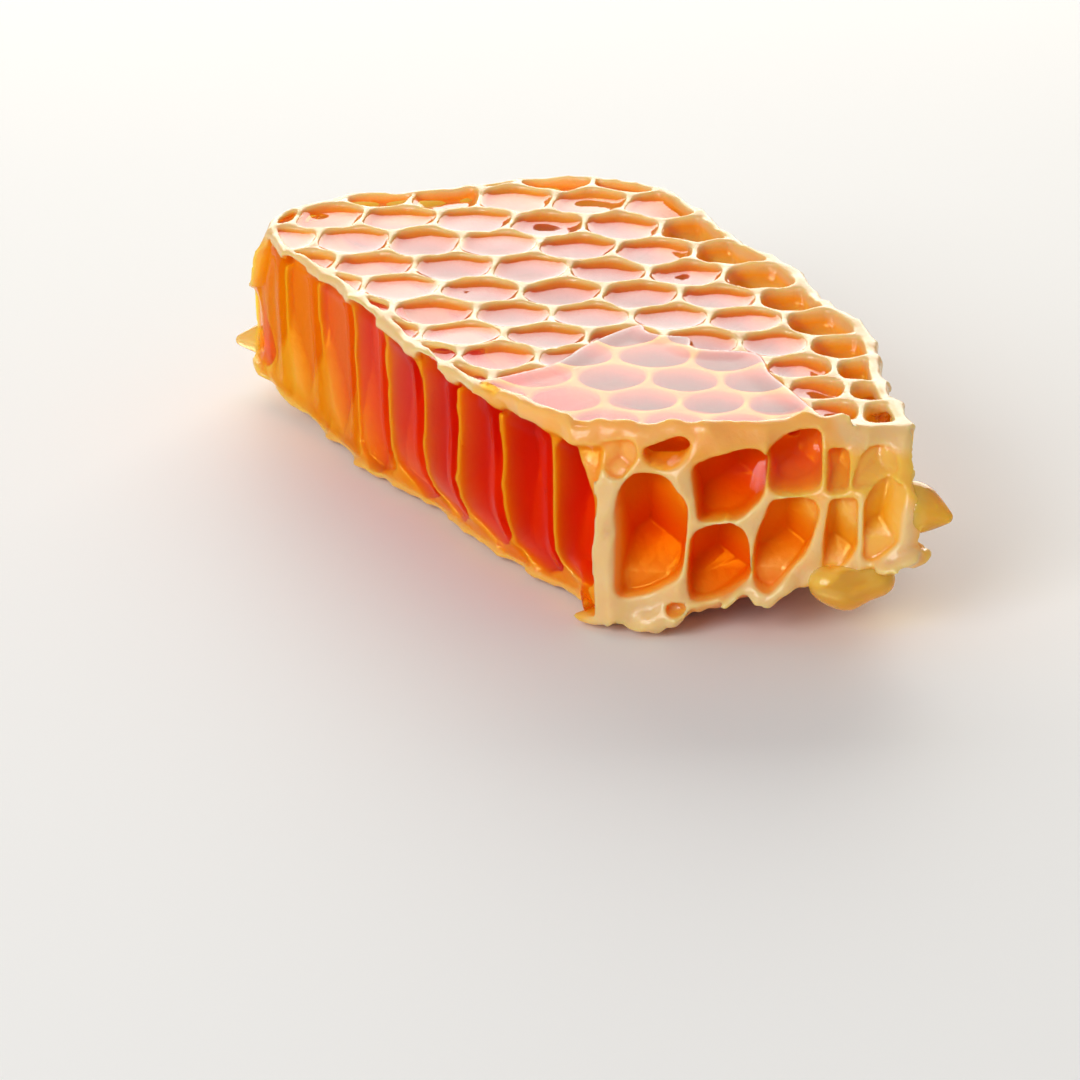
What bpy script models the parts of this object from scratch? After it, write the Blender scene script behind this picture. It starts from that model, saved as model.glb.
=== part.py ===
"""A torn-off piece of honeycomb, lying on its flat underside, +X along its long side.

The comb is wax: a middle wall with a layer of six-sided cells above it and another below. Honey fills
the cells, floods the front of the top, and hangs in drops at the two ends and under the broken end.
"""

import math

import bmesh
import bpy
from mathutils import Matrix, Vector

MM = 0.001

# The comb as a whole.
PITCH = 6.6 * MM
THICKNESS = 16.5 * MM
ROW_GAP = PITCH * math.sqrt(3) / 2
EDGE_SOFTENING = 0.8 * MM

# The top outline, corner by corner, anticlockwise from the front corner.
CORNERS_MM = (
    (26.5, -10.7), (32.2, -1.3), (35.2, 4.5), (38.6, 9.2), (32.8, 12.1), (24.4, 14.5), (13.8, 18.9),
    (6.3, 19.1), (-3.9, 20.3), (-12.8, 19.5), (-21.9, 20.1), (-29.0, 19.1), (-34.5, 15.4), (-37.4, 9.9),
    (-37.4, 3.4), (-38.4, -2.6), (-40.2, -8.6), (-38.4, -15.9), (-32.8, -19.3), (-20.8, -17.8),
    (-8.8, -17.3), (3.2, -16.9), (13.2, -15.5), (21.5, -13.1),
)
POINTS_PER_SPAN = 2

# The underside is flat but for two broken places, where it rises in a slope towards an end. Each is
# given by a point where the slope starts, in millimetres, the way it heads, and its angle.
BREAKS = (
    (Vector((28.2, -8.1, 0)), math.radians(31), math.radians(19)),
    (Vector((-20.8, 1.9, 0)), math.radians(180), math.radians(8)),
)
CUTTER_SIZE = 120 * MM

# The cells.
WALL = 0.9 * MM
CELL_RADIUS = (PITCH - WALL) / 2 / math.cos(math.radians(30))
RIM_WALL = 1.2 * MM
SMALLEST_CELL = 1.5 * MM
MIDDLE_WALL = 1.5 * MM
MIDDLE_HEIGHT_FRONT = 5.0 * MM
MIDDLE_HEIGHT_BACK = 8.6 * MM
MIDDLE_RISE_START_Y = -16.1 * MM
MIDDLE_RISE_WIDTH = 24 * MM
CELL_BASE_DEPTH = 1.0 * MM
FIRST_ROW_Y = -12.4 * MM
FIRST_CELL_X = -45.1 * MM
ROWS = range(-1, 7)
STEPS = range(-3, 16)
CELL_SHIFT = 0.22 * MM
TURN_PER_STEP = 2.4
TURN_PER_ROW = 5.1
TURN_ACROSS = 1.7
LOWER_LAYER_OFFSET = Vector((0, PITCH / math.sqrt(3)))
CUTTER_OVERLAP = 1 * MM

# Low places in the rims, along each row and once from row to row, where honey runs from cell to cell.
NOTCH_WIDTH = 1.8 * MM
NOTCH_DEPTH = 1.5 * MM

# The honey.
GAP = 0.3 * MM
HONEY_BELOW_RIM = 0.5 * MM
HONEY_ABOVE_UNDERSIDE = 0.3 * MM
FILM_THICKNESS = 0.8 * MM
FILM_CORNERS_MM = (
    (25.2, -9.7), (30.4, -2.1), (32.7, 4.3), (29.2, 7.1), (25.0, 6.8), (19.8, 7.5), (15.7, 7.3),
    (11.7, 4.3), (5.8, 2.5), (6.8, -4.5), (11.2, -9.5), (15.8, -13.1), (21.0, -11.7),
)

# Openings in the wax of the front end: place along the end and height of the middle, width, height.
END_START = Vector((26.5, -10.7)) * MM
END_FINISH = Vector((38.6, 9.2)) * MM
END_OPENINGS_MM = {
    "upper_1": (4.5, 14.4, 2.6, 1.9),
    "upper_2": (9.2, 12.9, 4.4, 4.4),
    "upper_3": (14.1, 13.4, 3.6, 3.6),
    "upper_4": (21.0, 13.6, 3.4, 3.4),
    "lower_1": (4.2, 7.8, 5.4, 8.2),
    "lower_2": (9.6, 6.4, 4.0, 6.0),
    "lower_3": (14.3, 8.2, 4.2, 5.6),
    "lower_4": (18.4, 9.0, 2.6, 5.2),
    "lower_5": (21.8, 9.6, 2.8, 3.2),
}
OPENING_DEPTH = 2.4 * MM
OPENING_SIDES = 8
CLEAR_OF_OPENINGS = 5.6 * MM

# Drops of honey: the middle and the half lengths of each. The right one ends in a point.
RIGHT_DROP_MIDDLE = Vector((37.8, 8.8, 10.9)) * MM
RIGHT_DROP_RADIUS = 1.9 * MM
RIGHT_DROP_LENGTH = 4.6 * MM
LEFT_DROP_MIDDLE = Vector((-37.3, -18.1, 4.0)) * MM
LEFT_DROP_HALF = Vector((2.1, 2.1, 1.8)) * MM
UNDER_DROP_MIDDLE = Vector((35.8, 5.8, 4.7)) * MM
UNDER_DROP_HALF = Vector((2.3, 3.8, 1.8)) * MM
DROP_SEGMENTS = 14
DROP_RINGS = 8


def clear_scene():
    for existing in list(bpy.data.objects):
        bpy.data.objects.remove(existing)


def material(name, color, roughness):
    made = bpy.data.materials.new(name)
    made.use_nodes = True
    shader = made.node_tree.nodes["Principled BSDF"]
    shader.inputs["Base Color"].default_value = (*color, 1)
    shader.inputs["Roughness"].default_value = roughness
    shader.inputs["Metallic"].default_value = 0
    return made


def add_object(name, mesh_builder, surface=None):
    """A new object from a finished bmesh. Without a surface it is a cutter, which isn't rendered."""
    mesh = bpy.data.meshes.new(name)
    bmesh.ops.recalc_face_normals(mesh_builder, faces=mesh_builder.faces)
    mesh_builder.to_mesh(mesh)
    mesh_builder.free()
    made = bpy.data.objects.new(name, mesh)
    bpy.context.scene.collection.objects.link(made)
    if surface:
        mesh.materials.append(surface)
    else:
        made.hide_render = True
        made.display_type = "WIRE"
    return made


def boolean(target, other, operation):
    step = target.modifiers.new(f"{operation} {other.name}", "BOOLEAN")
    step.operation = operation
    step.object = other


def smooth_loop(corners_mm):
    """A closed loop of points through the corners, bent smoothly between them (Catmull-Rom)."""
    corners = [Vector(corner) * MM for corner in corners_mm]
    loop = []
    for index, here in enumerate(corners):
        before = corners[index - 1]
        after = corners[(index + 1) % len(corners)]
        beyond = corners[(index + 2) % len(corners)]
        for part in range(POINTS_PER_SPAN):
            t = part / POINTS_PER_SPAN
            bend = (
                2 * here
                + (after - before) * t
                + (2 * before - 5 * here + 4 * after - beyond) * t**2
                + (3 * here - before - 3 * after + beyond) * t**3
            )
            loop.append(bend / 2)
    return loop


def inset_loop(loop, distance):
    moved = []
    for index, point in enumerate(loop):
        along = (loop[(index + 1) % len(loop)] - loop[index - 1]).normalized()
        moved.append(point + Vector((-along.y, along.x)) * distance)
    return moved


def depth_inside(point, loop):
    """How far a point is inside the loop; negative outside it."""
    nearest = math.inf
    inside = False
    for index, end in enumerate(loop):
        start = loop[index - 1]
        edge = end - start
        share = min(1, max(0, (point - start).dot(edge) / edge.length_squared))
        nearest = min(nearest, (point - start - edge * share).length)
        crosses = (start.y > point.y) != (end.y > point.y)
        if crosses and point.x < start.x + (point.y - start.y) / edge.y * edge.x:
            inside = not inside
    return nearest if inside else -nearest


def add_layers(builder, layers):
    """Adds a closed solid whose cross sections, from the bottom up, are the given loops of 3-D points."""
    rings = [[builder.verts.new(point) for point in layer] for layer in layers]
    count = len(rings[0])
    for lower, upper in zip(rings, rings[1:]):
        for index in range(count):
            after = (index + 1) % count
            builder.faces.new((lower[index], lower[after], upper[after], upper[index]))
    builder.faces.new(rings[0][::-1])
    builder.faces.new(rings[-1])


def at_height(loop, height):
    return [Vector((point.x, point.y, height)) for point in loop]


def middle_height(point):
    """Height of the middle wall of the comb, which lies lower along the front than along the back."""
    share = min(1, max(0, (point.y - MIDDLE_RISE_START_Y) / MIDDLE_RISE_WIDTH))
    return MIDDLE_HEIGHT_FRONT + (MIDDLE_HEIGHT_BACK - MIDDLE_HEIGHT_FRONT) * share


def shifted(point, row, step):
    """Moves a cell a little off the even lattice, in a way that is fixed by its row and step."""
    turn = TURN_PER_STEP * step + TURN_PER_ROW * row
    return point + Vector((math.sin(turn), math.cos(TURN_ACROSS * turn))) * CELL_SHIFT


def cells_of_layer(outline, lower):
    """The filled cells of a layer as (row, middle, radius), and the broken, empty ones as (middle, radius).

    Those that the sides cut open are broken, and so are lower cells over the broken slopes.
    """
    whole = []
    broken = []
    for row in ROWS:
        for step in STEPS:
            even = Vector((FIRST_CELL_X + (step + row / 2) * PITCH, FIRST_ROW_Y + row * ROW_GAP))
            middle = shifted(even - LOWER_LAYER_OFFSET * lower, row, step)
            depth = depth_inside(middle, outline)
            beyond_end = (middle - END_START).dot(end_normal()) + CLEAR_OF_OPENINGS
            radius = min(CELL_RADIUS, depth - RIM_WALL)
            if beyond_end > 0 or depth < -CELL_RADIUS:
                continue
            if radius > SMALLEST_CELL and lower and over_break(middle):
                broken.append((middle, radius))
            elif radius > SMALLEST_CELL:
                whole.append((row, middle, radius))
            elif depth < 0:
                broken.append((middle, CELL_RADIUS))
    return whole, broken


def over_break(point):
    return any(
        (point - start.xy * MM).dot(Vector((math.cos(heading), math.sin(heading)))) > 0
        for start, heading, _ in BREAKS
    )


def end_normal():
    along = (END_FINISH - END_START).normalized()
    return Vector((along.y, -along.x))


def add_cell(builder, middle, radius, base, apex, opening):
    """A six-sided prism from its opening to its base, which ends in a low point."""
    corners = [
        middle + Vector((math.cos(turn), math.sin(turn))) * radius
        for turn in (math.radians(30 + 60 * side) for side in range(6))
    ]
    top = [builder.verts.new((corner.x, corner.y, opening)) for corner in corners]
    bottom = [builder.verts.new((corner.x, corner.y, base)) for corner in corners]
    point = builder.verts.new((middle.x, middle.y, apex))
    builder.faces.new(top)
    for index in range(6):
        after = (index + 1) % 6
        builder.faces.new((top[index], top[after], bottom[after], bottom[index]))
        builder.faces.new((bottom[index], bottom[after], point))


def cell_heights(middle, lower):
    """Height of a cell's base at its walls and at its point."""
    side = -1 if lower else 1
    wall = middle_height(middle) + side * MIDDLE_WALL / 2
    return wall, wall - side * CELL_BASE_DEPTH


def add_bar(builder, start, finish, width, low, high):
    along = (finish - start).normalized()
    across = Vector((-along.y, along.x)) * width / 2
    loop = [start - across, finish - across, finish + across, start + across]
    add_layers(builder, [at_height(loop, low), at_height(loop, high)])


def runs_between_cells(whole):
    """Straight runs that join every whole cell: one along each row, and one from each row to the next."""
    rows = {}
    for row, middle, _ in whole:
        rows.setdefault(row, []).append(middle)
    runs = [(middles[0], middles[-1]) for middles in rows.values() if len(middles) > 1]
    ordered = sorted(rows)
    for row, following in zip(ordered, ordered[1:]):
        start = rows[row][len(rows[row]) // 2]
        finish = min(rows[following], key=lambda middle: (middle - start).length)
        runs.append((start, finish))
    return runs


def layer_cutter(outline, lower):
    """Everything that the cells of a layer take out of the wax."""
    whole, broken = cells_of_layer(outline, lower)
    opening = -CUTTER_OVERLAP if lower else THICKNESS + CUTTER_OVERLAP
    prisms = bmesh.new()
    for middle, radius in [cell[1:] for cell in whole] + broken:
        add_cell(prisms, middle, radius, *cell_heights(middle, lower), opening)
    name = "lower_cells" if lower else "upper_cells"
    cutter = add_object(f"{name}_cutter", prisms)
    notch_floor = NOTCH_DEPTH if lower else THICKNESS - NOTCH_DEPTH
    notches = []
    for index, (start, finish) in enumerate(runs_between_cells(whole)):
        bar = bmesh.new()
        add_bar(bar, start, finish, NOTCH_WIDTH, *sorted((notch_floor, opening)))
        notches.append(add_object(f"{name}_notch_{index}", bar))
    return cutter, notches


def layer_honey(name, outline, lower, film, surface):
    """The honey of a layer: a prism in each cell, joined where it runs through the low places in the rims."""
    whole, _ = cells_of_layer(outline, lower)
    level = HONEY_ABOVE_UNDERSIDE if lower else THICKNESS - HONEY_BELOW_RIM
    prisms = bmesh.new()
    for _, middle, radius in whole:
        wall, apex = cell_heights(middle, lower)
        rise = -GAP if lower else GAP
        flooded = film and depth_inside(middle, film) > 0
        top = THICKNESS + GAP + FILM_THICKNESS / 2 if flooded else level
        add_cell(prisms, middle, radius - GAP / math.cos(math.radians(30)), wall + rise, apex + rise, top)
    honey = add_object(name, prisms, surface)
    inner = NOTCH_DEPTH - GAP if lower else THICKNESS - NOTCH_DEPTH + GAP
    for index, (start, finish) in enumerate(runs_between_cells(whole)):
        bar = bmesh.new()
        add_bar(bar, start, finish, NOTCH_WIDTH - 2 * GAP, *sorted((inner, level)))
        boolean(honey, add_object(f"{name}_run_{index}", bar), "UNION")
    if film:
        sheet = bmesh.new()
        low = THICKNESS + GAP
        high = low + FILM_THICKNESS
        tapered = inset_loop(film, FILM_THICKNESS / 2)
        add_layers(sheet, [at_height(film, low), at_height(tapered, high)])
        boolean(honey, add_object(f"{name}_film", sheet), "UNION")
    if lower:
        for cutter in break_cutters(f"{name}_break", HONEY_ABOVE_UNDERSIDE):
            boolean(honey, cutter, "DIFFERENCE")


def break_cutters(name, raised):
    """The blocks under the two broken slopes, each raised by a height. A slope rises towards its heading."""
    blocks = []
    for index, (start, heading, slope) in enumerate(BREAKS):
        block = bmesh.new()
        bmesh.ops.create_cube(block, size=CUTTER_SIZE)
        bmesh.ops.translate(block, vec=(CUTTER_SIZE / 2, 0, -CUTTER_SIZE / 2), verts=block.verts)
        turn = Matrix.Rotation(heading, 4, "Z") @ Matrix.Rotation(-slope, 4, "Y")
        place = Matrix.Translation(start * MM + Vector((0, 0, raised)))
        bmesh.ops.transform(block, matrix=place @ turn, verts=block.verts)
        blocks.append(add_object(f"{name}_{index}", block))
    return blocks


def add_end_prism(builder, place, height, width, tall, back, front):
    """A rounded prism that runs into the front end, from back to front along the end's normal."""
    along = (END_FINISH - END_START).normalized()
    normal = end_normal()
    loops = []
    for distance in (back, front):
        loop = []
        for side in range(OPENING_SIDES):
            turn = math.tau * side / OPENING_SIDES
            spot = END_START + along * (place + math.cos(turn) * width / 2) + normal * distance
            loop.append(Vector((spot.x, spot.y, height + math.sin(turn) * tall / 2)))
        loops.append(loop)
    add_layers(builder, loops)


def slab(outline):
    """The comb before anything is cut from it."""
    body = bmesh.new()
    narrow = inset_loop(outline, EDGE_SOFTENING)
    heights = (0, EDGE_SOFTENING, THICKNESS - EDGE_SOFTENING, THICKNESS)
    loops = (narrow, outline, outline, narrow)
    add_layers(body, [at_height(loop, height) for loop, height in zip(loops, heights)])
    return body


def build_comb(outline, wax):
    comb = add_object("comb", slab(outline), wax)
    for cutter in break_cutters("comb_break", 0):
        boolean(comb, cutter, "DIFFERENCE")
    for lower in (False, True):
        cutter, notches = layer_cutter(outline, lower)
        boolean(comb, cutter, "DIFFERENCE")
        for notch in notches:
            boolean(comb, notch, "DIFFERENCE")
    for name, (place, height, width, tall) in END_OPENINGS_MM.items():
        opening = bmesh.new()
        add_end_prism(opening, place * MM, height * MM, width * MM, tall * MM, -OPENING_DEPTH, OPENING_DEPTH)
        boolean(comb, add_object(f"opening_{name}", opening), "DIFFERENCE")


def build_end_honey(honey):
    for name, (place, height, width, tall) in END_OPENINGS_MM.items():
        plug = bmesh.new()
        size = (width * MM - 2 * GAP, tall * MM - 2 * GAP)
        add_end_prism(plug, place * MM, height * MM, *size, GAP - OPENING_DEPTH, -GAP)
        add_object(f"honey_end_{name}", plug, honey)


def add_ball(builder, middle, half):
    bmesh.ops.create_uvsphere(builder, u_segments=DROP_SEGMENTS, v_segments=DROP_RINGS, radius=1)
    place = Matrix.Translation(middle) @ Matrix.Diagonal((*half, 1))
    bmesh.ops.transform(builder, matrix=place, verts=builder.verts)


def build_drops(outline, honey):
    """Drops that cling to the comb from outside, each cut back to keep clear of the wax."""
    right = bmesh.new()
    add_ball(right, Vector(), (RIGHT_DROP_RADIUS,) * 3)
    for vertex in right.verts:
        out = max(0, vertex.co.x / RIGHT_DROP_RADIUS)
        slimmer = math.sqrt((1 - out) / (1 + out)) if out else 1
        vertex.co = Vector((vertex.co.x, vertex.co.y * slimmer, vertex.co.z * slimmer))
        vertex.co.x *= RIGHT_DROP_LENGTH / RIGHT_DROP_RADIUS if out else 1
    heading = Matrix.Rotation((END_FINISH - END_START).angle_signed(Vector((1, 0))), 4, "Z")
    bmesh.ops.transform(right, matrix=Matrix.Translation(RIGHT_DROP_MIDDLE) @ heading, verts=right.verts)
    left = bmesh.new()
    add_ball(left, LEFT_DROP_MIDDLE, LEFT_DROP_HALF)
    under = bmesh.new()
    add_ball(under, UNDER_DROP_MIDDLE, UNDER_DROP_HALF)
    keep_clear = bmesh.new()
    wider = inset_loop(outline, -GAP)
    add_layers(keep_clear, [at_height(wider, -GAP), at_height(wider, THICKNESS + GAP)])
    envelope = add_object("comb_envelope", keep_clear)
    for cutter in break_cutters("envelope_break", -GAP):
        boolean(envelope, cutter, "DIFFERENCE")
    for name, drop in (("honey_drop_right", right), ("honey_drop_left", left), ("honey_drop_under", under)):
        boolean(add_object(name, drop, honey), envelope, "DIFFERENCE")


def main():
    clear_scene()
    wax = material("wax", (0.86, 0.68, 0.36), 0.45)
    honey = material("honey", (0.80, 0.30, 0.02), 0.08)
    outline = smooth_loop(CORNERS_MM)
    film = smooth_loop(FILM_CORNERS_MM)
    build_comb(outline, wax)
    layer_honey("honey_upper", outline, False, film, honey)
    layer_honey("honey_lower", outline, True, None, honey)
    build_end_honey(honey)
    build_drops(outline, honey)


main()
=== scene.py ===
"""Looks of a torn-off piece of honeycomb: waxy walls, honey in the cells, a film on top, hanging drops.

Shapes are worked out in millimetres as fields: numbers over a grid, negative inside a thing, each of
which then becomes a mesh. Nothing is read but the frame.
"""

import math

import bpy
import numpy as np
from mathutils import Matrix, Vector


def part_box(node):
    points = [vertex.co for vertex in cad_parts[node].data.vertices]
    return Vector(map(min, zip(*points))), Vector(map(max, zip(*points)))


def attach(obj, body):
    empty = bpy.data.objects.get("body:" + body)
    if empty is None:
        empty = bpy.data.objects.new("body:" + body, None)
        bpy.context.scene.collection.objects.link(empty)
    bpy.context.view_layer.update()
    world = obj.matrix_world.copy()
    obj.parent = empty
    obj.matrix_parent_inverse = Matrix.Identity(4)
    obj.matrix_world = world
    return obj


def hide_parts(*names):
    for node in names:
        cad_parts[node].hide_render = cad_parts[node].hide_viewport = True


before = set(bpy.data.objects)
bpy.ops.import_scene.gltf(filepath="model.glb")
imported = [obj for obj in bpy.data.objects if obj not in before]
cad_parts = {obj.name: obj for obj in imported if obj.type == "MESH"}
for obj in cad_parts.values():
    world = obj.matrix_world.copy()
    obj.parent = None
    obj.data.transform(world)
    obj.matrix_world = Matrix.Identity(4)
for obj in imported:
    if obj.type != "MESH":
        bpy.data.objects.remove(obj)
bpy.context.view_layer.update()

MM = 0.001


def box_mm(node):
    low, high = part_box(node)
    return np.array(low) / MM, np.array(high) / MM


COMB_LOW, COMB_HIGH = box_mm("comb")
TOP = float(COMB_HIGH[2])

# The grid that the fields are worked out on.
STEP = 0.2
MARGIN = 1.8
UNDER_MARGIN = 0.6

# The top outline of the comb, corner by corner, anticlockwise from its front corner, as the CAD has it.
CORNERS = (
    (26.5, -10.7), (32.2, -1.3), (35.2, 4.5), (38.6, 9.2), (32.8, 12.1), (24.4, 14.5), (13.8, 18.9),
    (6.3, 19.1), (-3.9, 20.3), (-12.8, 19.5), (-21.9, 20.1), (-29.0, 19.1), (-34.5, 15.4), (-37.4, 9.9),
    (-37.4, 3.4), (-38.4, -2.6), (-40.2, -8.6), (-39.2, -16.6), (-33.2, -20.0), (-20.8, -18.0),
    (-8.8, -17.3), (3.2, -16.9), (13.2, -15.5), (21.5, -13.1),
)
POINTS_PER_SPAN = 4

# Where the underside is broken away: a point on the line where its slope starts, its heading and angle.
BREAKS = (
    ((28.2, -8.1), math.radians(31), math.radians(19)),
    ((-20.8, 1.9), math.radians(180), math.radians(8)),
)

# The cells.
PITCH = 6.6
ROW_GAP = PITCH * math.sqrt(3) / 2
FIRST_CELL = (-45.1, -12.4)
WARP_MIDDLE = (-0.8, 1.9)
LOWER_LAYER_OFFSET = PITCH / math.sqrt(3)
ROWS = range(-2, 8)
STEPS = range(-4, 17)
CELL_SHIFT = 0.3
CORNER_ROUNDING = 0.5
RIM_HALF = 0.24
WALL_HALF = 0.2
RIM_DEPTH = 0.9
SIDE_RIM = 1.0
CELL_DEPTH = 6.5
SHALLOW_DEPTH = 2.6
LOWER_CELL_DEPTH = 3.0

# The honey in the upper cells stands a little below the rims and dips to a bowl in each cell.
HONEY_BELOW_RIM = 0.06
BOWL_DEPTH = 0.65
BOWL_REACH = 0.5

# The tall tubes laid open along the long front side: the walls between them, by their distance from the
# front corner, and the heights of their feet and tops.
WALLS_ALONG = (0.5, 6.3, 13.3, 19.7, 26.5, 33.9, 41.4, 49.2, 55.6, 62.0)
FEET = (2.2, 1.1, 1.7, 1.3, 0.9, 0.6, 1.0, 1.0, 0.8)
TOPS = (14.9, 15.4, 15.6, 15.9, 14.9, 15.7, 15.1, 15.2, 14.2)
TUBE_WALL = 0.6
BACK_PITCH = 6.2

# The film of honey over the front of the top.
FILM_CORNERS = (
    (11.8, -13.1), (10.8, -8.6), (7.7, -4.3), (5.3, 1.7), (8.0, 1.9), (10.2, 4.3), (12.7, 3.8),
    (15.7, 7.7), (20.3, 6.8), (25.0, 6.6), (30.5, 6.3), (36.4, 6.0), (37.0, -2.4), (32.6, -11.2),
    (24.0, -17.9), (13.2, -18.6),
)
FILM_RISE = 0.3
FILM_BEAD = 0.15
FILM_EDGE = 0.8

# The torn front end: its line on the plan, and how far it leans back at its top, at both its corners.
END_START = (26.5, -10.7)
END_FINISH = (38.6, 9.2)
END_HEADING = math.atan2(19.9, 12.1)
LONG_SIDE_HEADING = math.atan2(2.4, 5.0)
BACK_HEADING = math.atan2(2.9, -5.8)
END_LENGTH = 23.3
END_LEAN_NEAR = 1.6
END_LEAN_FAR = 5.4

# The long side draws in towards its foot, and the left end towards its top.
FOOT_LEAN = 2.6
LEFT_LEAN = 2.2

# Its openings: depth, and the corners, clockwise, as place along the end and height.
END_OPENINGS = (
    (0.9, (-0.4, 15.3), (2.0, 15.6), (2.3, 14.5), (1.2, 12.9), (0.1, 13.3)),
    (2.0, (2.8, 15.2), (4.8, 15.9), (5.7, 16.2), (6.4, 15.5), (5.2, 13.9), (3.9, 13.8), (3.0, 14.3)),
    (4.5, (6.7, 13.9), (8.4, 14.7), (11.3, 15.1), (12.1, 14.6), (12.1, 12.0), (10.4, 10.1), (7.3, 9.7)),
    (4.0, (12.3, 14.9), (14.1, 16.1), (16.2, 16.1), (16.3, 12.7), (15.6, 12.3), (13.3, 12.1), (12.5, 12.7)),
    (2.0, (16.9, 14.9), (18.3, 14.7), (18.5, 12.6), (17.0, 12.4)),
    (1.1, (19.4, 14.6), (20.1, 15.1), (21.6, 15.0), (22.0, 14.6), (22.1, 13.7), (19.9, 12.8), (18.9, 12.8)),
    (1.0, (22.9, 15.6), (23.7, 14.8), (23.7, 13.8), (23.0, 14.4)),
    (4.2, (1.5, 12.6), (2.4, 13.3), (4.6, 13.1), (6.3, 11.1), (6.3, 8.3), (5.8, 5.1), (3.3, 3.3), (1.2, 3.0),
     (-0.1, 5.3), (-0.4, 6.9)),
    (3.8, (7.4, 9.1), (10.1, 9.6), (10.9, 8.8), (11.2, 5.2), (8.7, 3.3), (6.8, 3.1), (6.4, 4.5), (6.7, 8.4)),
    (3.2, (12.8, 11.6), (15.6, 11.8), (16.3, 11.1), (15.7, 7.8), (12.7, 4.2), (11.6, 4.8), (11.5, 7.9)),
    (2.4, (16.9, 11.8), (19.2, 11.9), (19.2, 7.8), (17.7, 5.9), (16.2, 5.4), (16.0, 6.6), (16.9, 10.4)),
    (2.0, (19.9, 12.0), (20.9, 13.1), (22.2, 13.2), (23.1, 12.6), (22.8, 9.2), (20.6, 7.1), (19.9, 7.2)),
    (0.9, (9.9, 3.0), (10.8, 4.0), (11.7, 3.0), (10.2, 2.7)),
    (0.7, (4.8, 2.4), (5.5, 2.9), (6.3, 2.7), (6.1, 2.1), (5.0, 2.0)),
)
OPENING_ROUNDING = 0.6

# The faces at the back of a cell, each given by the turn in degrees of the way in which it comes forward.
END_FACES = (30, 150, 270)
FOOT_FACES = (210, 330)
HEAD_FACES = (30, 150)
FACET_SLOPE = 0.7
CORNER_WALL = 0.35
BAND_STEP = 0.75

# How deep the drops are rooted in the comb.
DROP_ROOT = 0.4


# ------------------------------------------------------------------ fields


def smooth_min(a, b, blend):
    share = np.clip(0.5 + 0.5 * (b - a) / blend, 0, 1)
    return b + (a - b) * share - blend * share * (1 - share)


def smooth_max(a, b, blend):
    return -smooth_min(-a, -b, blend)


def ease(low, high, value):
    """0 below low, 1 above high, and a smooth rise between them."""
    share = np.clip((value - low) / (high - low), 0, 1)
    return share * share * (3 - 2 * share)


def lumps(axes, size, seed):
    """Smooth random lumps from -1 to 1, about as far apart as size, over a grid with these axes."""
    made = np.random.default_rng(seed)
    counts = [int((axis[-1] - axis[0]) / size) + 3 for axis in axes]
    grid = made.uniform(-1, 1, counts).astype(np.float32)
    for number, axis in enumerate(axes):
        place = (axis - axis[0]) / size
        below = place.astype(int)
        shape = [1] * len(axes)
        shape[number] = len(axis)
        share = ease(0, 1, place - below).reshape(shape).astype(np.float32)
        grid = np.take(grid, below, number) * (1 - share) + np.take(grid, below + 1, number) * share
    return grid


def smooth_loop(corners):
    """A closed loop of points through the corners, bent smoothly between them (Catmull-Rom)."""
    here = np.array(corners, float)
    before, after, beyond = (np.roll(here, shift, 0) for shift in (1, -1, -2))
    spans = []
    for part in range(POINTS_PER_SPAN):
        t = part / POINTS_PER_SPAN
        bend = (
            2 * here
            + (after - before) * t
            + (2 * before - 5 * here + 4 * after - beyond) * t**2
            + (3 * here - before - 3 * after + beyond) * t**3
        )
        spans.append(bend / 2)
    return np.stack(spans, 1).reshape(-1, 2)


def along_loop(loop, x, y):
    """For points on a plan: depth inside the loop, place along it of its nearest point, and its length."""
    start, end = loop, np.roll(loop, -1, 0)
    edge = end - start
    length = np.linalg.norm(edge, axis=1)
    before = np.concatenate([[0], np.cumsum(length)[:-1]])
    depth = np.full(x.shape, np.inf)
    along = np.zeros(x.shape)
    inside = np.zeros(x.shape, bool)
    for (x0, y0), (dx, dy), far, base in zip(start, edge, length, before):
        share = np.clip(((x - x0) * dx + (y - y0) * dy) / far**2, 0, 1)
        away = np.hypot(x - x0 - share * dx, y - y0 - share * dy)
        nearer = away < depth
        depth = np.where(nearer, away, depth)
        along = np.where(nearer, base + share * far, along)
        if dy:
            crosses = (y0 > y) != (y0 + dy > y)
            inside ^= crosses & (x < x0 + (y - y0) / dy * dx)
    return np.where(inside, depth, -depth), along, length.sum()


def cell_middles(offset):
    """Middles of a layer's cells. Rows draw together towards both ends, where the bees fitted them in."""
    row, step = np.meshgrid(ROWS, STEPS, indexing="ij")
    x = FIRST_CELL[0] + (step + row / 2) * PITCH
    y = FIRST_CELL[1] + row * ROW_GAP - offset
    u, v = (x - WARP_MIDDLE[0]) / 40, (y - WARP_MIDDLE[1]) / 18
    x = x - 0.5 - 0.6 * u + 0.4 * v - 5.6 * u**2 + 0.7 * u * v - 2.2 * u**2 * v
    y = y + 0.5 + 0.5 * u + 0.3 * v - 2.8 * u * v - 1.7 * u**3 - 3.4 * u**2 * v
    turn = 2.4 * step + 5.1 * row
    x = x + CELL_SHIFT * np.sin(turn)
    y = y + CELL_SHIFT * np.cos(1.7 * turn)
    return np.stack([x.ravel(), y.ravel()], 1)


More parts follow.
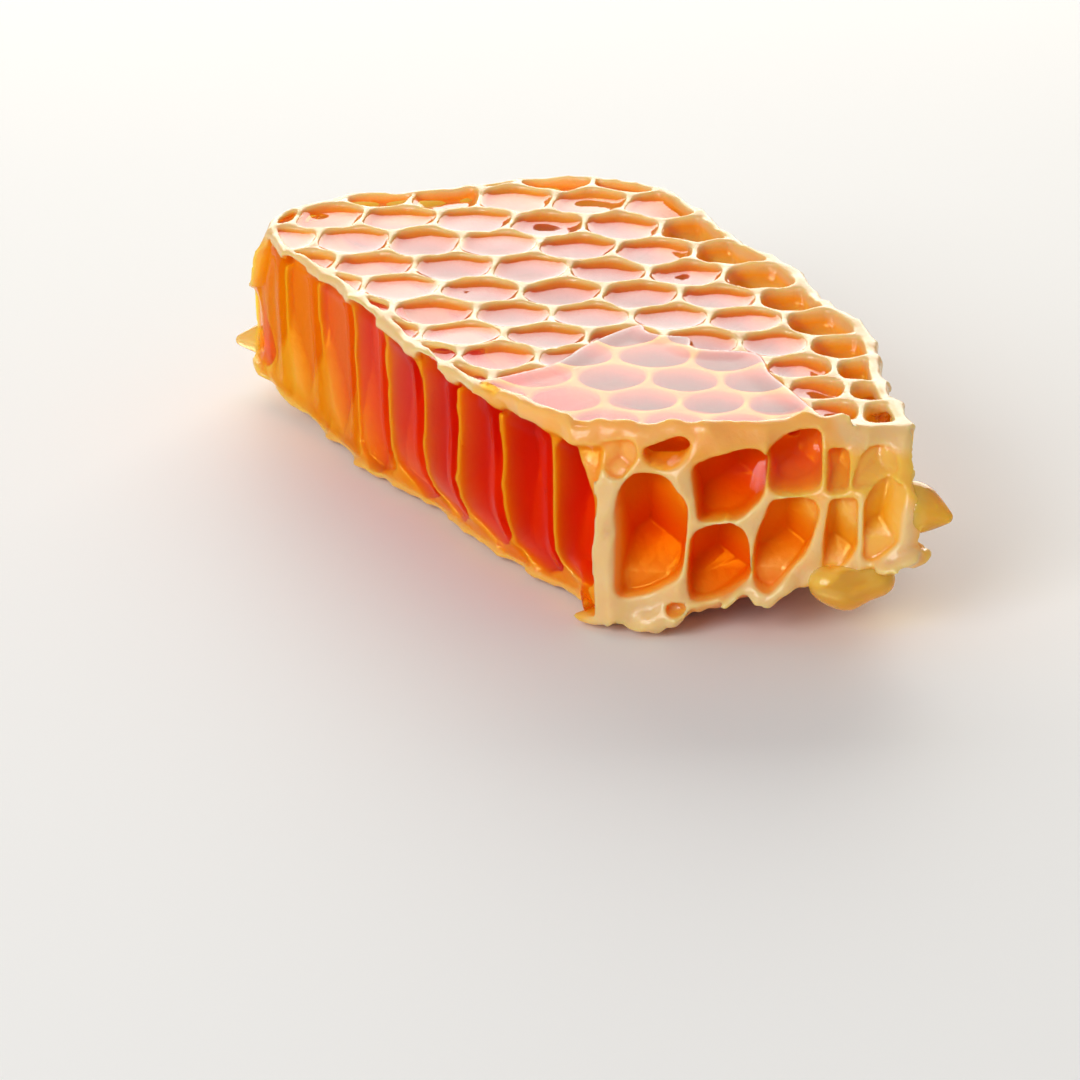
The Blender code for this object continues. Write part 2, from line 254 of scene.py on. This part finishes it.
def cells_on_plan(middles, x, y):
    """For points on a plan: distance to the nearest cell wall, and the number and distance of the cell."""
    points = np.stack([x.ravel(), y.ravel()], 1)
    square = ((points[:, None, :] - middles[None]) ** 2).sum(2)
    nearest = square.argmin(1)
    own = middles[nearest]
    apart = np.linalg.norm(own[:, None, :] - middles[None], axis=2)
    every = np.arange(len(points))
    apart[every, nearest] = 1
    to_wall = (square - square.min(1)[:, None]) / (2 * apart)
    to_wall[every, nearest] = 1e3
    edge = -CORNER_ROUNDING * np.log(np.exp(-to_wall / CORNER_ROUNDING).sum(1))
    return edge.reshape(x.shape), nearest.reshape(x.shape), np.sqrt(square.min(1)).reshape(x.shape)


def cell_numbers(middles, seed):
    """A fixed random number from -1 to 1 for each cell."""
    return np.random.default_rng(seed).uniform(-1, 1, len(middles))


# ------------------------------------------------------------------ meshes


def surface_of(field, axes):
    """Points and four-sided faces of a field's zero surface: one point in each grid cell that it crosses."""
    flat = field.ravel()
    counts = np.array(field.shape)
    strides = np.array([counts[1] * counts[2], counts[2], 1])
    inside = field < 0
    corners = [(i, j, k) for i in (0, 1) for j in (0, 1) for k in (0, 1)]
    shape = counts - 1
    total = np.zeros(shape, np.int8)
    for i, j, k in corners:
        total += inside[i : i + shape[0], j : j + shape[1], k : k + shape[2]]
    crossed = np.argwhere((total > 0) & (total < 8))
    base = crossed @ strides
    place = np.zeros((len(crossed), 3))
    hits = np.zeros(len(crossed))
    for corner in corners:
        for axis in range(3):
            if corner[axis]:
                continue
            first = base + np.dot(corner, strides)
            a, b = flat[first], flat[first + strides[axis]]
            cut = (a < 0) != (b < 0)
            share = np.where(cut, a / np.where(cut, a - b, 1), 0)
            spot = np.tile(np.array(corner, float), (len(crossed), 1))
            spot[:, axis] += share
            place += np.where(cut[:, None], spot, 0)
            hits += cut
    place = crossed + place / hits[:, None]
    number = np.full(shape, -1, np.int32)
    number[tuple(crossed.T)] = np.arange(len(crossed))
    faces = []
    for axis in range(3):
        b, c = (axis + 1) % 3, (axis + 2) % 3
        low = np.moveaxis(inside, (axis, b, c), (0, 1, 2))
        cells = np.moveaxis(number, (axis, b, c), (0, 1, 2))
        change = low[:-1, 1:-1, 1:-1] != low[1:, 1:-1, 1:-1]
        i, j, k = np.nonzero(change)
        ring = np.stack([cells[i, j, k], cells[i, j + 1, k], cells[i, j + 1, k + 1], cells[i, j, k + 1]], 1)
        outward = low[:-1, 1:-1, 1:-1][i, j, k]
        faces.append(np.where(outward[:, None], ring, ring[:, ::-1]))
    points = np.stack([np.interp(place[:, n], np.arange(counts[n]), axes[n]) for n in range(3)], 1)
    return points, np.concatenate(faces)


def add_surface(name, field, axes, most_triangles):
    points, faces = surface_of(field, axes)
    mesh = bpy.data.meshes.new(name)
    mesh.vertices.add(len(points))
    mesh.vertices.foreach_set("co", (points * MM).ravel())
    mesh.loops.add(faces.size)
    mesh.loops.foreach_set("vertex_index", faces.ravel())
    mesh.polygons.add(len(faces))
    mesh.polygons.foreach_set("loop_start", np.arange(0, faces.size, 4))
    mesh.update()
    mesh.validate()
    mesh.shade_smooth()
    made = bpy.data.objects.new(name, mesh)
    bpy.context.scene.collection.objects.link(made)
    if 2 * len(faces) > most_triangles:
        step = made.modifiers.new("Fewer triangles", "DECIMATE")
        step.ratio = most_triangles / (2 * len(faces))
        graph = bpy.context.evaluated_depsgraph_get()
        fewer = bpy.data.meshes.new_from_object(made.evaluated_get(graph))
        made.modifiers.clear()
        made.data = fewer
        fewer.shade_smooth()
    print(name, "faces", len(faces), "kept", len(made.data.polygons))
    return made


def sampled(field, axes, points):
    """The field's values at points, by linear steps between grid points."""
    places = [
        np.clip((points[:, n] - axes[n][0]) / (axes[n][1] - axes[n][0]), 0, len(axes[n]) - 1.001)
        for n in range(3)
    ]
    below = [place.astype(int) for place in places]
    total = 0
    for corner in np.ndindex(2, 2, 2):
        weight = 1
        for n in range(3):
            share = places[n] - below[n]
            weight = weight * (share if corner[n] else 1 - share)
        total = total + weight * field[tuple(below[n] + corner[n] for n in range(3))]
    return total


def note_values(piece, name, field, axes):
    """Keeps the field's values at the piece's points as an attribute that its material reads."""
    points = np.empty(len(piece.data.vertices) * 3)
    piece.data.vertices.foreach_get("co", points)
    values = sampled(field, axes, points.reshape(-1, 3) / MM)
    piece.data.attributes.new(name, "FLOAT", "POINT").data.foreach_set("value", values.astype(np.float32))


# ------------------------------------------------------------------ the comb


def comb_axes():
    low = COMB_LOW - (MARGIN, MARGIN, UNDER_MARGIN)
    high = COMB_HIGH + (MARGIN, MARGIN, MARGIN)
    return [np.arange(a, b, STEP) for a, b in zip(low, high)]


def underside(x, y):
    """Height of the underside, flat but for its broken slopes."""
    height = np.zeros(x.shape)
    for (x0, y0), heading, slope in BREAKS:
        ahead = (x - x0) * math.cos(heading) + (y - y0) * math.sin(heading)
        height = np.maximum(height, ahead * math.tan(slope))
    return height


class Plan:
    """What the fields need to know about each point of the plan."""

    def __init__(self, axes):
        self.x, self.y = np.meshgrid(axes[0], axes[1], indexing="ij")
        self.depth, self.along, self.length = along_loop(smooth_loop(CORNERS), self.x, self.y)
        self.under = underside(self.x, self.y)
        upper, lower = cell_middles(0), cell_middles(LOWER_LAYER_OFFSET)
        self.edge, self.cell, self.off_middle = cells_on_plan(upper, self.x, self.y)
        self.lower_edge, self.lower_cell, self.lower_off_middle = cells_on_plan(lower, self.x, self.y)
        self.level = cell_numbers(upper, 5)[self.cell]
        self.film = along_loop(smooth_loop(FILM_CORNERS), self.x, self.y)[0]
        self.rough = lumps(axes[:2], 5.5, 11)
        self.fine = lumps(axes[:2], 1.6, 12)
        self.end_along, self.end_depth = self.along_line(END_START, END_HEADING)
        long_side_depth = self.along_line(END_START, LONG_SIDE_HEADING)[1]
        back_depth = self.along_line(END_FINISH, BACK_HEADING)[1]
        self.beside_end = np.minimum(long_side_depth, back_depth)
        self.lean = END_LEAN_NEAR + (END_LEAN_FAR - END_LEAN_NEAR) * ease(4, 21, self.end_along)
        self.rim = self.end_depth - 0.94 * self.lean
        self.foot = ease(-13, 3, self.x) * ease(0.5, 4.0, self.end_depth) * ease(-2, -7, self.y)
        self.left = ease(-26, -35, self.x) * ease(-6, -13, self.y)
        # Painted glow: the wax under the honey is painted a lighter yellow in place of deep red at its left end,
        # along its back and at the far corner of its front end, where light from behind would shine through.
        self.painted_glow = np.maximum(ease(-14, -34, self.x), ease(12, 22, self.end_along) * ease(9, 5, self.end_depth))
        self.painted_glow = np.maximum(self.painted_glow, ease(7, 3, self.depth) * ease(4, 11, self.y))
        # The emptier cells lie along the back of the right half.
        self.empty = ease(6.5, 2.0, self.depth) * ease(-27, -15, self.x) * ease(4, 11, self.y)
        # At the far corner of the front end the upper cells are shallow, and full.
        self.corner = ease(15, 19, self.end_along) * ease(9, 6, self.end_depth)
        self.empty = self.empty * (1 - 0.8 * self.corner)

    def along_line(self, start, heading):
        """Place along a line of the outline, and depth inside it."""
        ahead, across = self.x - start[0], self.y - start[1]
        along = ahead * math.cos(heading) + across * math.sin(heading)
        return along, across * math.cos(heading) - ahead * math.sin(heading)


def tube(half_width, low, high, point, shoulder):
    """Corners, clockwise, of a tall cell seen from its side, with a pointed foot and sloping shoulders."""
    return (
        (-half_width, low + point),
        (-half_width, high - shoulder),
        (shoulder - half_width, high),
        (half_width - shoulder, high),
        (half_width, high - shoulder),
        (half_width, low + point),
        (0, low),
    )


def side_openings(plan):
    """Cells laid open along the sides but the front end.

    Each has its place along the outline, depth, corners, and the turns and height of its back's faces.
    """
    found = []
    # The long front side: tall tubes, each with a pointed foot.
    for right, left, low, high in zip(WALLS_ALONG, WALLS_ALONG[1:], FEET, TOPS):
        middle = (left + right) / 2
        deep = 5.5 - 3.7 * ease(20, 50, middle) - 1.0 * ease(6, 0, middle)
        corners = tube((left - right) / 2 - TUBE_WALL / 2, low, high, 1.7, 0.9)
        found.append((plan.length - middle, (deep, corners, FOOT_FACES, low + 3.4)))
    # The back and the left end: two rows, one above the other.
    start = END_LENGTH + 1.0
    room = plan.length - WALLS_ALONG[-1] - start
    count = round(room / BACK_PITCH)
    for number in range(count):
        away = start + (number + 0.5) * room / count
        corners = tube(room / count / 2 - 0.35, 8.6, 13.3, 1.5, 0.9)
        found.append((away, (2.4, corners, FOOT_FACES, 11.0)))
        corners = [(x, 10.6 - z) for x, z in tube(room / count / 2 - 0.35, 1.2, 8.4, 1.5, 0.9)][::-1]
        found.append((away + room / count / 2, (2.4, corners, HEAD_FACES, 6.6)))
    return found


def polygon_field(corners, x, z):
    """Distance outside a polygon whose corners run clockwise, with its corners rounded."""
    total = None
    for (x0, z0), (x1, z1) in zip(corners, (*corners[1:], corners[0])):
        far = math.hypot(x1 - x0, z1 - z0)
        away = ((x - x0) * (z0 - z1) + (z - z0) * (x1 - x0)) / far
        total = away if total is None else smooth_max(total, away, OPENING_ROUNDING)
    return total


def back_of_cell(across, above, turns):
    """How far the back of a cell comes forward: faces that rise away from a point, one for each turn."""
    faces = [across * math.cos(turn) + above * math.sin(turn) for turn in np.radians(turns)]
    return np.clip(np.max(faces, axis=0), 0, None)


def opened(axes, spots, sides, opening, wax, bowl):
    """Cuts an opening into the wax of a side, and marks how far the honey in it is drawn in at its middle.

    Spots are where the points of the plan lie along the side, how far the side's foot is raised, and how far
    the cell walls stray sideways at each point of the grid.
    Sides are the depths inside the side itself and inside the next one. The opening stays nearer to its own.
    """
    (along, foot, stray), (side, next_side) = spots, sides
    deep, corners, turns, meeting_height = opening
    reach = [x for x, _ in corners]
    middle = sum(reach) / len(reach)
    near = (along > min(reach) - 1.5) & (along < max(reach) + 1.5) & (side.min(2) < deep + 1.5)
    across, depth = along[near][:, None] + stray[near], side[near]
    z = axes[2][None, :] - foot[near][:, None]
    inward = np.clip(depth, 0, None)
    outline = polygon_field(corners, across, z) + 0.06 * inward - 0.15
    forward = np.minimum(FACET_SLOPE * back_of_cell(across - middle, z - meeting_height, turns), 0.6 * deep)
    hollow = smooth_max(outline, depth - deep + forward, 0.15)
    hollow = smooth_max(hollow, depth - next_side[near] + CORNER_WALL, 0.3)
    wax[near] = smooth_max(wax[near], -hollow, 0.25)
    drawn = np.clip(-outline / 1.6, 0, 1)
    bowl[near] = np.maximum(bowl[near], drawn * (2 - drawn) * ease(deep + 1, deep, depth))


def comb_fields(axes, plan):
    """The fields of the wax, of the honey and of the comb without its cells, and the wax's tint depth: how far honey
    soaks its wax, plus depth inside the comb for painted shade.
    """
    z = axes[2][None, None, :]
    edge = plan.edge[:, :, None]
    rough, fine = plan.rough[:, :, None], plan.fine[:, :, None]
    knots = lumps(axes, 2.2, 21) + 0.5 * lumps(axes, 0.9, 23)
    waves = lumps(axes, 6.0, 22)
    above = z - plan.under[:, :, None]

    # Depth inside the sides, which lean.
    leaning = ease(9.5, 17.5, z) ** 1.5
    end_side = plan.end_depth[:, :, None] - plan.lean[:, :, None] * leaning
    long_side = plan.depth[:, :, None] - FOOT_LEAN * plan.foot[:, :, None] * ease(8, 0, z) ** 1.5
    long_side = long_side - LEFT_LEAN * plan.left[:, :, None] * leaning
    side = smooth_min(long_side, end_side, 1.0)

    # The wax before its cells. The long side's honey stands out between its rim and its foot.
    front = (plan.along + plan.length / 2) % plan.length - plan.length / 2
    front_rim = ease(1.7, 0.8, np.minimum(plan.rim, plan.depth)) * ease(-18, -12, front) * ease(26, 21, front)
    front_rim = front_rim[:, :, None]
    top = TOP - 0.25 + 0.15 * rough + 0.15 * fine + 0.8 * front_rim * (0.9 + 0.3 * fine)
    torn = (ease(4.0, 2.0, plan.end_depth) * ease(-0.5, 1.0, plan.end_along))[:, :, None]
    ragged = (lumps(axes[:2], 2.3, 31) + 0.5 * lumps(axes[:2], 0.8, 32))[:, :, None]
    under = plan.under[:, :, None] + 0.25 + 0.2 * fine + torn * (0.4 + 0.7 * ragged)
    swell = 0.45 * np.exp(-edge / 0.9) - 0.25 + 0.25 * waves + 0.2 * knots
    flare = torn * 1.5 * ease(2.8, 0.6, above) * (0.6 + 0.7 * knots)
    away = plan.length - plan.along
    band = (ease(0.2, 1.2, away) * ease(62, 58, away) * ease(0.1, 0.8, plan.end_depth))[:, :, None]
    band = band * ease(15.4, 14.6, z) * ease(0.6, 1.4, above)
    outer = smooth_max(-side - swell - flare, z - top, 0.8)
    block = smooth_max(-side - swell - flare + BAND_STEP * band, z - top, 0.8)
    wax = smooth_max(block, under - z, 0.9)
    body = smooth_max(outer, under - z, 0.9)

    # The upper cells, shallow near the sides, where the side openings are.
    below = np.clip(top - z, 0, None)
    wall = WALL_HALF + (RIM_HALF - WALL_HALF) * np.exp(-below / RIM_DEPTH)
    deep = SHALLOW_DEPTH + (CELL_DEPTH - SHALLOW_DEPTH) * ease(6.5, 9.5, side)
    floor = top - deep + 0.3 * plan.off_middle[:, :, None] + plan.corner[:, :, None]
    hollow = smooth_max(wall - edge, floor - z, 0.5)
    hollow = smooth_max(hollow, SIDE_RIM - side, 0.5)
    wax = smooth_max(wax, -hollow, 0.35)

    # The lower cells.
    lower_edge = plan.lower_edge[:, :, None]
    ceiling = under + 1.0 + (LOWER_CELL_DEPTH - 1.0) * ease(4.5, 7.0, side) - 0.3 * plan.lower_off_middle[:, :, None]
    hollow = smooth_max(WALL_HALF + 0.15 - lower_edge, z - ceiling, 0.5)
    hollow = smooth_max(hollow, 1.6 - side, 0.5)
    wax = smooth_max(wax, -hollow, 0.35)

    # The openings in the sides.
    bowl = np.zeros(wax.shape, np.float32)
    stray = 0.5 * waves + 0.15 * knots
    beside_end = plan.beside_end[:, :, None] + 0 * z
    for deep, *corners in END_OPENINGS:
        meeting_height = sum(z for _, z in corners) / len(corners)
        opening = (deep, corners, END_FACES, meeting_height)
        opened(axes, (plan.end_along, 0 * plan.under, 0.4 * stray), (end_side, beside_end), opening, wax, bowl)
    for place, opening in side_openings(plan):
        along = (plan.along - place + plan.length / 2) % plan.length - plan.length / 2
        opened(axes, (along, 0.55 * plan.under, stray), (long_side, end_side), opening, wax, bowl)

    # The honey: sunk between the rims, over them where it floods the front, and drawn in at the sides.
    sink = HONEY_BELOW_RIM + BOWL_DEPTH * (1 - 0.3 * plan.level) * (1 - np.exp(-np.clip(plan.edge, 0, None) / BOWL_REACH))
    sink = sink + 1.5 * plan.empty * (1 - np.exp(-np.clip(plan.edge - 0.3, 0, None) / 0.5))
    level = TOP - 0.25 + 0.15 * plan.rough - sink
    bead = np.clip(plan.film / FILM_EDGE, 0, 1)
    shoulder = np.sqrt(np.clip(1 - (1 - bead) ** 2, 0, 1))
    rise = (FILM_RISE + FILM_BEAD * ease(3.0, 1.0, plan.film)) * ease(-0.6, 0.2, plan.rim)
    film = TOP - 0.15 + (rise + 0.15) * shoulder - 1.0 * (1 - shoulder)
    film = np.where(plan.film > 0, film, -1e3)
    level = np.where(plan.film > -0.5, smooth_max(level, np.maximum(film, level - 2), 0.25), level)
    flooded = ease(-0.5, 0.5, plan.film)[:, :, None] * ease(14.0, 15.6, z)
    honey = smooth_max(z - level[:, :, None], 0.45 + 0.4 * bowl - 0.3 * band - 0.3 * flooded - side, 0.5)
    honey = smooth_max(honey, under + 0.35 - z, 0.4)
    # The wax's tint depth: honey soaked into the wax under the front end's honey and the film, less at the emptier
    # cells. The depth inside the comb is added, and the wax material paints it as shade, redder and darker further
    # in.
    soak_and_depth_shade = 1.3 * ease(0.2, 1.2, plan.end_depth)[:, :, None] * ease(15.8, 13.5, z)
    soak_and_depth_shade = soak_and_depth_shade + 0.6 * flooded - 0.8 * plan.empty[:, :, None] * ease(14.0, 15.6, z)
    return wax, honey, body, soak_and_depth_shade - outer


# ------------------------------------------------------------------ drops


def add_drop(name, balls, blend, body, body_axes, step=0.15):
    """A drop grown together from balls, each given by its middle and radius. It ends in the comb's skin."""
    balls = [(np.array(middle), radius) for middle, radius in balls]
    low = np.min([middle - radius for middle, radius in balls], axis=0) - 4 * step
    high = np.max([middle + radius for middle, radius in balls], axis=0) + 4 * step
    axes = [np.arange(a, b, step) for a, b in zip(low, high)]
    x, y, z = np.meshgrid(*axes, indexing="ij")
    field = None
    for middle, radius in balls:
        ball = np.sqrt((x - middle[0]) ** 2 + (y - middle[1]) ** 2 + (z - middle[2]) ** 2) - radius
        field = ball if field is None else smooth_min(field, ball, blend)
    points = np.stack([x.ravel(), y.ravel(), z.ravel()], 1)
    outside = sampled(body, body_axes, points).reshape(field.shape)
    return add_surface(name, smooth_max(field, -DROP_ROOT - outside, 0.2), axes, 20_000)


def drop_line(start, finish, first_radius, last_radius, count):
    """Balls in a row from start to finish, shrinking or growing evenly."""
    shares = np.linspace(0, 1, count)
    start, finish = np.array(start), np.array(finish)
    return [
        (start + (finish - start) * share, first_radius + (last_radius - first_radius) * share)
        for share in shares
    ]


def build_drops(body, body_axes):
    pale = honey_material("pale_honey", 500, (1 - 2 / 500, 1 - 75 / 500, 1 - 400 / 500), 1.3, 0.5)
    low, high = box_mm("honey_drop_right")
    tip = np.array((high[0] - 0.6, high[1] - 0.7, (low[2] + high[2]) / 2))
    right = drop_line(tip - (3.2, 1.4, 0.1), tip, 2.0, 0.3, 9)
    low, high = box_mm("honey_drop_left")
    middle = (low + high) / 2
    left = drop_line(middle + (1.4, 1.4, 0.3), middle - (1.0, 1.6, 0.2), 1.9, 0.4, 9)
    low, high = box_mm("honey_drop_under")
    middle = (low + high) / 2
    under = [(middle - (0.7, 2.0, -0.5), 1.2), (middle - (0, 0.4, 0), 1.7), (middle + (0.8, 1.9, 0.7), 1.3)]
    for name, balls, blend in (("right", right, 0.5), ("left", left, 0.5), ("under", under, 1.6)):
        drop = add_drop(f"drop_{name}", balls, blend, body, body_axes)
        drop.data.materials.append(pale)
        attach(drop, "root")
        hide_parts(f"honey_drop_{name}")


# ------------------------------------------------------------------ materials


def new_material(name):
    made = bpy.data.materials.new(name)
    made.use_nodes = True
    tree = made.node_tree
    tree.nodes.clear()
    return made, tree


def add_node(tree, kind, inputs=None, **settings):
    """A node with its settings. Inputs are given by name or number: another node's output, or a value."""
    node = tree.nodes.new(kind)
    for key, value in settings.items():
        setattr(node, key, value)
    for key, value in (inputs or {}).items():
        if isinstance(value, bpy.types.NodeSocket):
            tree.links.new(value, node.inputs[key])
        else:
            node.inputs[key].default_value = value
    return node


def wax_material():
    made, tree = new_material("wax")
    place = add_node(tree, "ShaderNodeTexCoord").outputs["Object"]
    patches = add_node(tree, "ShaderNodeTexNoise", {"Vector": place, "Scale": 180, "Detail": 3})
    grain = add_node(tree, "ShaderNodeTexNoise", {"Vector": place, "Scale": 1400, "Detail": 4})
    colour = add_node(
        tree,
        "ShaderNodeMix",
        {0: patches.outputs["Fac"]},
        data_type="RGBA",
    )
    colour.inputs[6].default_value = (0.78, 0.47, 0.15, 1)
    colour.inputs[7].default_value = (0.86, 0.64, 0.33, 1)
    # Wax under honey: tinted orange partly for the honey soaked into it. Painted shade turns it deep red and darker
    # the deeper it lies inside the comb, in place of light dimmed on its way through the honey.
    inside = add_node(tree, "ShaderNodeAttribute", attribute_name="inside").outputs["Fac"]
    soak_and_depth_shade = add_node(tree, "ShaderNodeMapRange", {"Value": inside, "From Min": 0.05, "From Max": 0.8})
    deep = add_node(tree, "ShaderNodeMapRange", {"Value": inside, "From Min": 1.5, "From Max": 5.0})
    below = add_node(tree, "ShaderNodeMix", {0: deep.outputs[0]}, data_type="RGBA")
    below.inputs[6].default_value = (0.93, 0.42, 0.06, 1)
    below.inputs[7].default_value = (0.90, 0.17, 0.015, 1)
    # Painted glow: where light from behind would shine through the comb, the deep red under honey gives way to a
    # lighter yellow.
    painted_glow = add_node(tree, "ShaderNodeAttribute", attribute_name="painted_glow").outputs["Fac"]
    below = add_node(tree, "ShaderNodeMix", {0: painted_glow, 6: below.outputs[2]}, data_type="RGBA")
    below.inputs[7].default_value = (1.0, 0.50, 0.07, 1)
    tinted = add_node(
        tree, "ShaderNodeMix", {0: soak_and_depth_shade.outputs[0], 6: colour.outputs[2], 7: below.outputs[2]}, data_type="RGBA"
    )
    bump = add_node(
        tree, "ShaderNodeBump", {"Height": grain.outputs["Fac"], "Strength": 0.35, "Distance": 0.0002}
    )
    shader = add_node(
        tree,
        "ShaderNodeBsdfPrincipled",
        {
            "Base Color": tinted.outputs[2],
            "Roughness": 0.38,
            "IOR": 1.44,
            "Subsurface Weight": 1,
            "Subsurface Radius": (1.7, 1.1, 0.5),
            "Subsurface Scale": 0.001,
            "Coat Weight": 0.4,
            "Coat Roughness": 0.12,
            "Normal": bump.outputs["Normal"],
        },
    )
    add_node(tree, "ShaderNodeOutputMaterial", {"Surface": shader.outputs[0]})
    return made


def clear_body(tree, ior):
    return add_node(
        tree,
        "ShaderNodeBsdfPrincipled",
        {"Base Color": (1, 0.99, 0.96, 1), "Roughness": 0.02, "IOR": ior, "Transmission Weight": 1},
    ).outputs[0]


def honey_material(name, density, colour, upright_ior, glow=0):
    """Clear honey. Lamps and soft light pass its surface; its colour comes from the way through it.

    Upright faces reflect less of the pale floor than level ones do of the lights. Glow is the share of
    light that the honey scatters, gold-coloured, instead of letting it through.
    """
    made, tree = new_material(name)
    facing = add_node(tree, "ShaderNodeNewGeometry")
    parts = add_node(tree, "ShaderNodeSeparateXYZ", {0: facing.outputs["Normal"]})
    level = add_node(
        tree, "ShaderNodeMapRange", {"Value": parts.outputs["Z"], "From Min": 0.3, "From Max": 0.75}
    )
    body = add_node(
        tree,
        "ShaderNodeMixShader",
        {0: level.outputs[0], 1: clear_body(tree, upright_ior), 2: clear_body(tree, 1.49)},
    )
    if glow:
        milky = add_node(
            tree,
            "ShaderNodeBsdfPrincipled",
            {
                "Base Color": (1.0, 0.52, 0.06, 1),
                "Roughness": 0.08,
                "IOR": 1.49,
                "Subsurface Weight": 1,
                "Subsurface Radius": (2.5, 1.5, 0.4),
                "Subsurface Scale": 0.001,
            },
        )
        body = add_node(tree, "ShaderNodeMixShader", {0: glow, 1: body.outputs[0], 2: milky.outputs[0]})
    clear = add_node(tree, "ShaderNodeBsdfTransparent")
    path = add_node(tree, "ShaderNodeLightPath")
    either = add_node(
        tree,
        "ShaderNodeMath",
        {0: path.outputs["Is Shadow Ray"], 1: path.outputs["Is Diffuse Ray"]},
        operation="MAXIMUM",
    )
    surface = add_node(
        tree, "ShaderNodeMixShader", {0: either.outputs[0], 1: body.outputs[0], 2: clear.outputs[0]}
    )
    depth = add_node(tree, "ShaderNodeVolumeAbsorption", {"Color": (*colour, 1), "Density": density})
    add_node(
        tree, "ShaderNodeOutputMaterial", {"Surface": surface.outputs[0], "Volume": depth.outputs[0]}
    )
    return made


def plain_material(name, colour, roughness):
    made, tree = new_material(name)
    shader = add_node(
        tree, "ShaderNodeBsdfPrincipled", {"Base Color": (*colour, 1), "Roughness": roughness}
    )
    add_node(tree, "ShaderNodeOutputMaterial", {"Surface": shader.outputs[0]})
    return made


# ------------------------------------------------------------------ the stage


def add_floor():
    mesh = bpy.data.meshes.new("floor")
    half = 4.0
    mesh.from_pydata([(-half, -half, 0), (half, -half, 0), (half, half, 0), (-half, half, 0)], [], [(0, 1, 2, 3)])
    floor = bpy.data.objects.new("floor", mesh)
    bpy.context.scene.collection.objects.link(floor)
    mesh.materials.append(plain_material("floor", (0.9, 0.9, 0.9), 0.6))
    floor.location.z = -0.0002


def add_panel(name, heading, height, distance, size, power, colour):
    """A soft panel of light that faces the piece, from a heading and height in degrees."""
    data = bpy.data.lights.new(name, "AREA")
    data.shape = "RECTANGLE"
    data.size, data.size_y = size
    data.energy = power
    data.color = colour
    panel = bpy.data.objects.new(name, data)
    bpy.context.scene.collection.objects.link(panel)
    turn, up = math.radians(heading), math.radians(height)
    place = Vector((math.cos(turn) * math.cos(up), math.sin(turn) * math.cos(up), math.sin(up))) * distance
    aim = Vector((0, 0, 0.01))
    panel.location = place + aim
    panel.rotation_euler = place.to_track_quat("Z", "Y").to_euler()


def add_camera():
    data = bpy.data.cameras.new("camera")
    data.lens = 106.6
    data.sensor_width = 36
    data.clip_start = 0.01
    camera = bpy.data.objects.new("camera", data)
    bpy.context.scene.collection.objects.link(camera)
    camera.location = Vector((233.6, -100.3, 108.4)) * MM
    aim = Vector((8.03, -8.65, 0)) * MM
    look = (aim - camera.location).to_track_quat("-Z", "Y").to_matrix().to_4x4()
    camera.matrix_world = (
        Matrix.Translation(camera.location) @ look @ Matrix.Rotation(math.radians(-0.87), 4, "Z")
    )
    bpy.context.scene.camera = camera


def light_the_stage():
    world = bpy.data.worlds.new("studio")
    bpy.context.scene.world = world
    world.use_nodes = True
    background = world.node_tree.nodes["Background"]
    background.inputs["Color"].default_value = (1.0, 0.99, 0.97, 1)
    background.inputs["Strength"].default_value = 0.34
    bpy.context.scene.view_settings.view_transform = "Standard"
    add_panel("back_panel", 158, 22, 0.7, (0.75, 0.52), 4.4, (0.97, 0.93, 0.85))
    add_panel("key", 300, 30, 0.7, (0.35, 0.35), 2.6, (1, 1, 1))


def main():
    axes = comb_axes()
    plan = Plan(axes)
    wax_field, honey_field, body, inside = comb_fields(axes, plan)
    wax = add_surface("comb_wax", wax_field, axes, 190_000)
    # Tint depth for the wax: honey soak plus depth inside the comb, which its material paints as shade.
    note_values(wax, "inside", inside, axes)
    # Where the wax under honey is painted with glow from behind.
    note_values(wax, "painted_glow", np.broadcast_to(plan.painted_glow[:, :, None], inside.shape), axes)
    wax.data.materials.append(wax_material())
    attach(wax, "root")
    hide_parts("comb")
    honey = add_surface("comb_honey", honey_field, axes, 190_000)
    honey.data.materials.append(honey_material("honey", 1200, (1 - 20 / 1200, 1 - 200 / 1200, 0), 1.08))
    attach(honey, "root")
    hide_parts(*[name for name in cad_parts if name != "comb" and "drop" not in name])
    build_drops(body, axes)
    add_floor()
    light_the_stage()
    add_camera()


main()
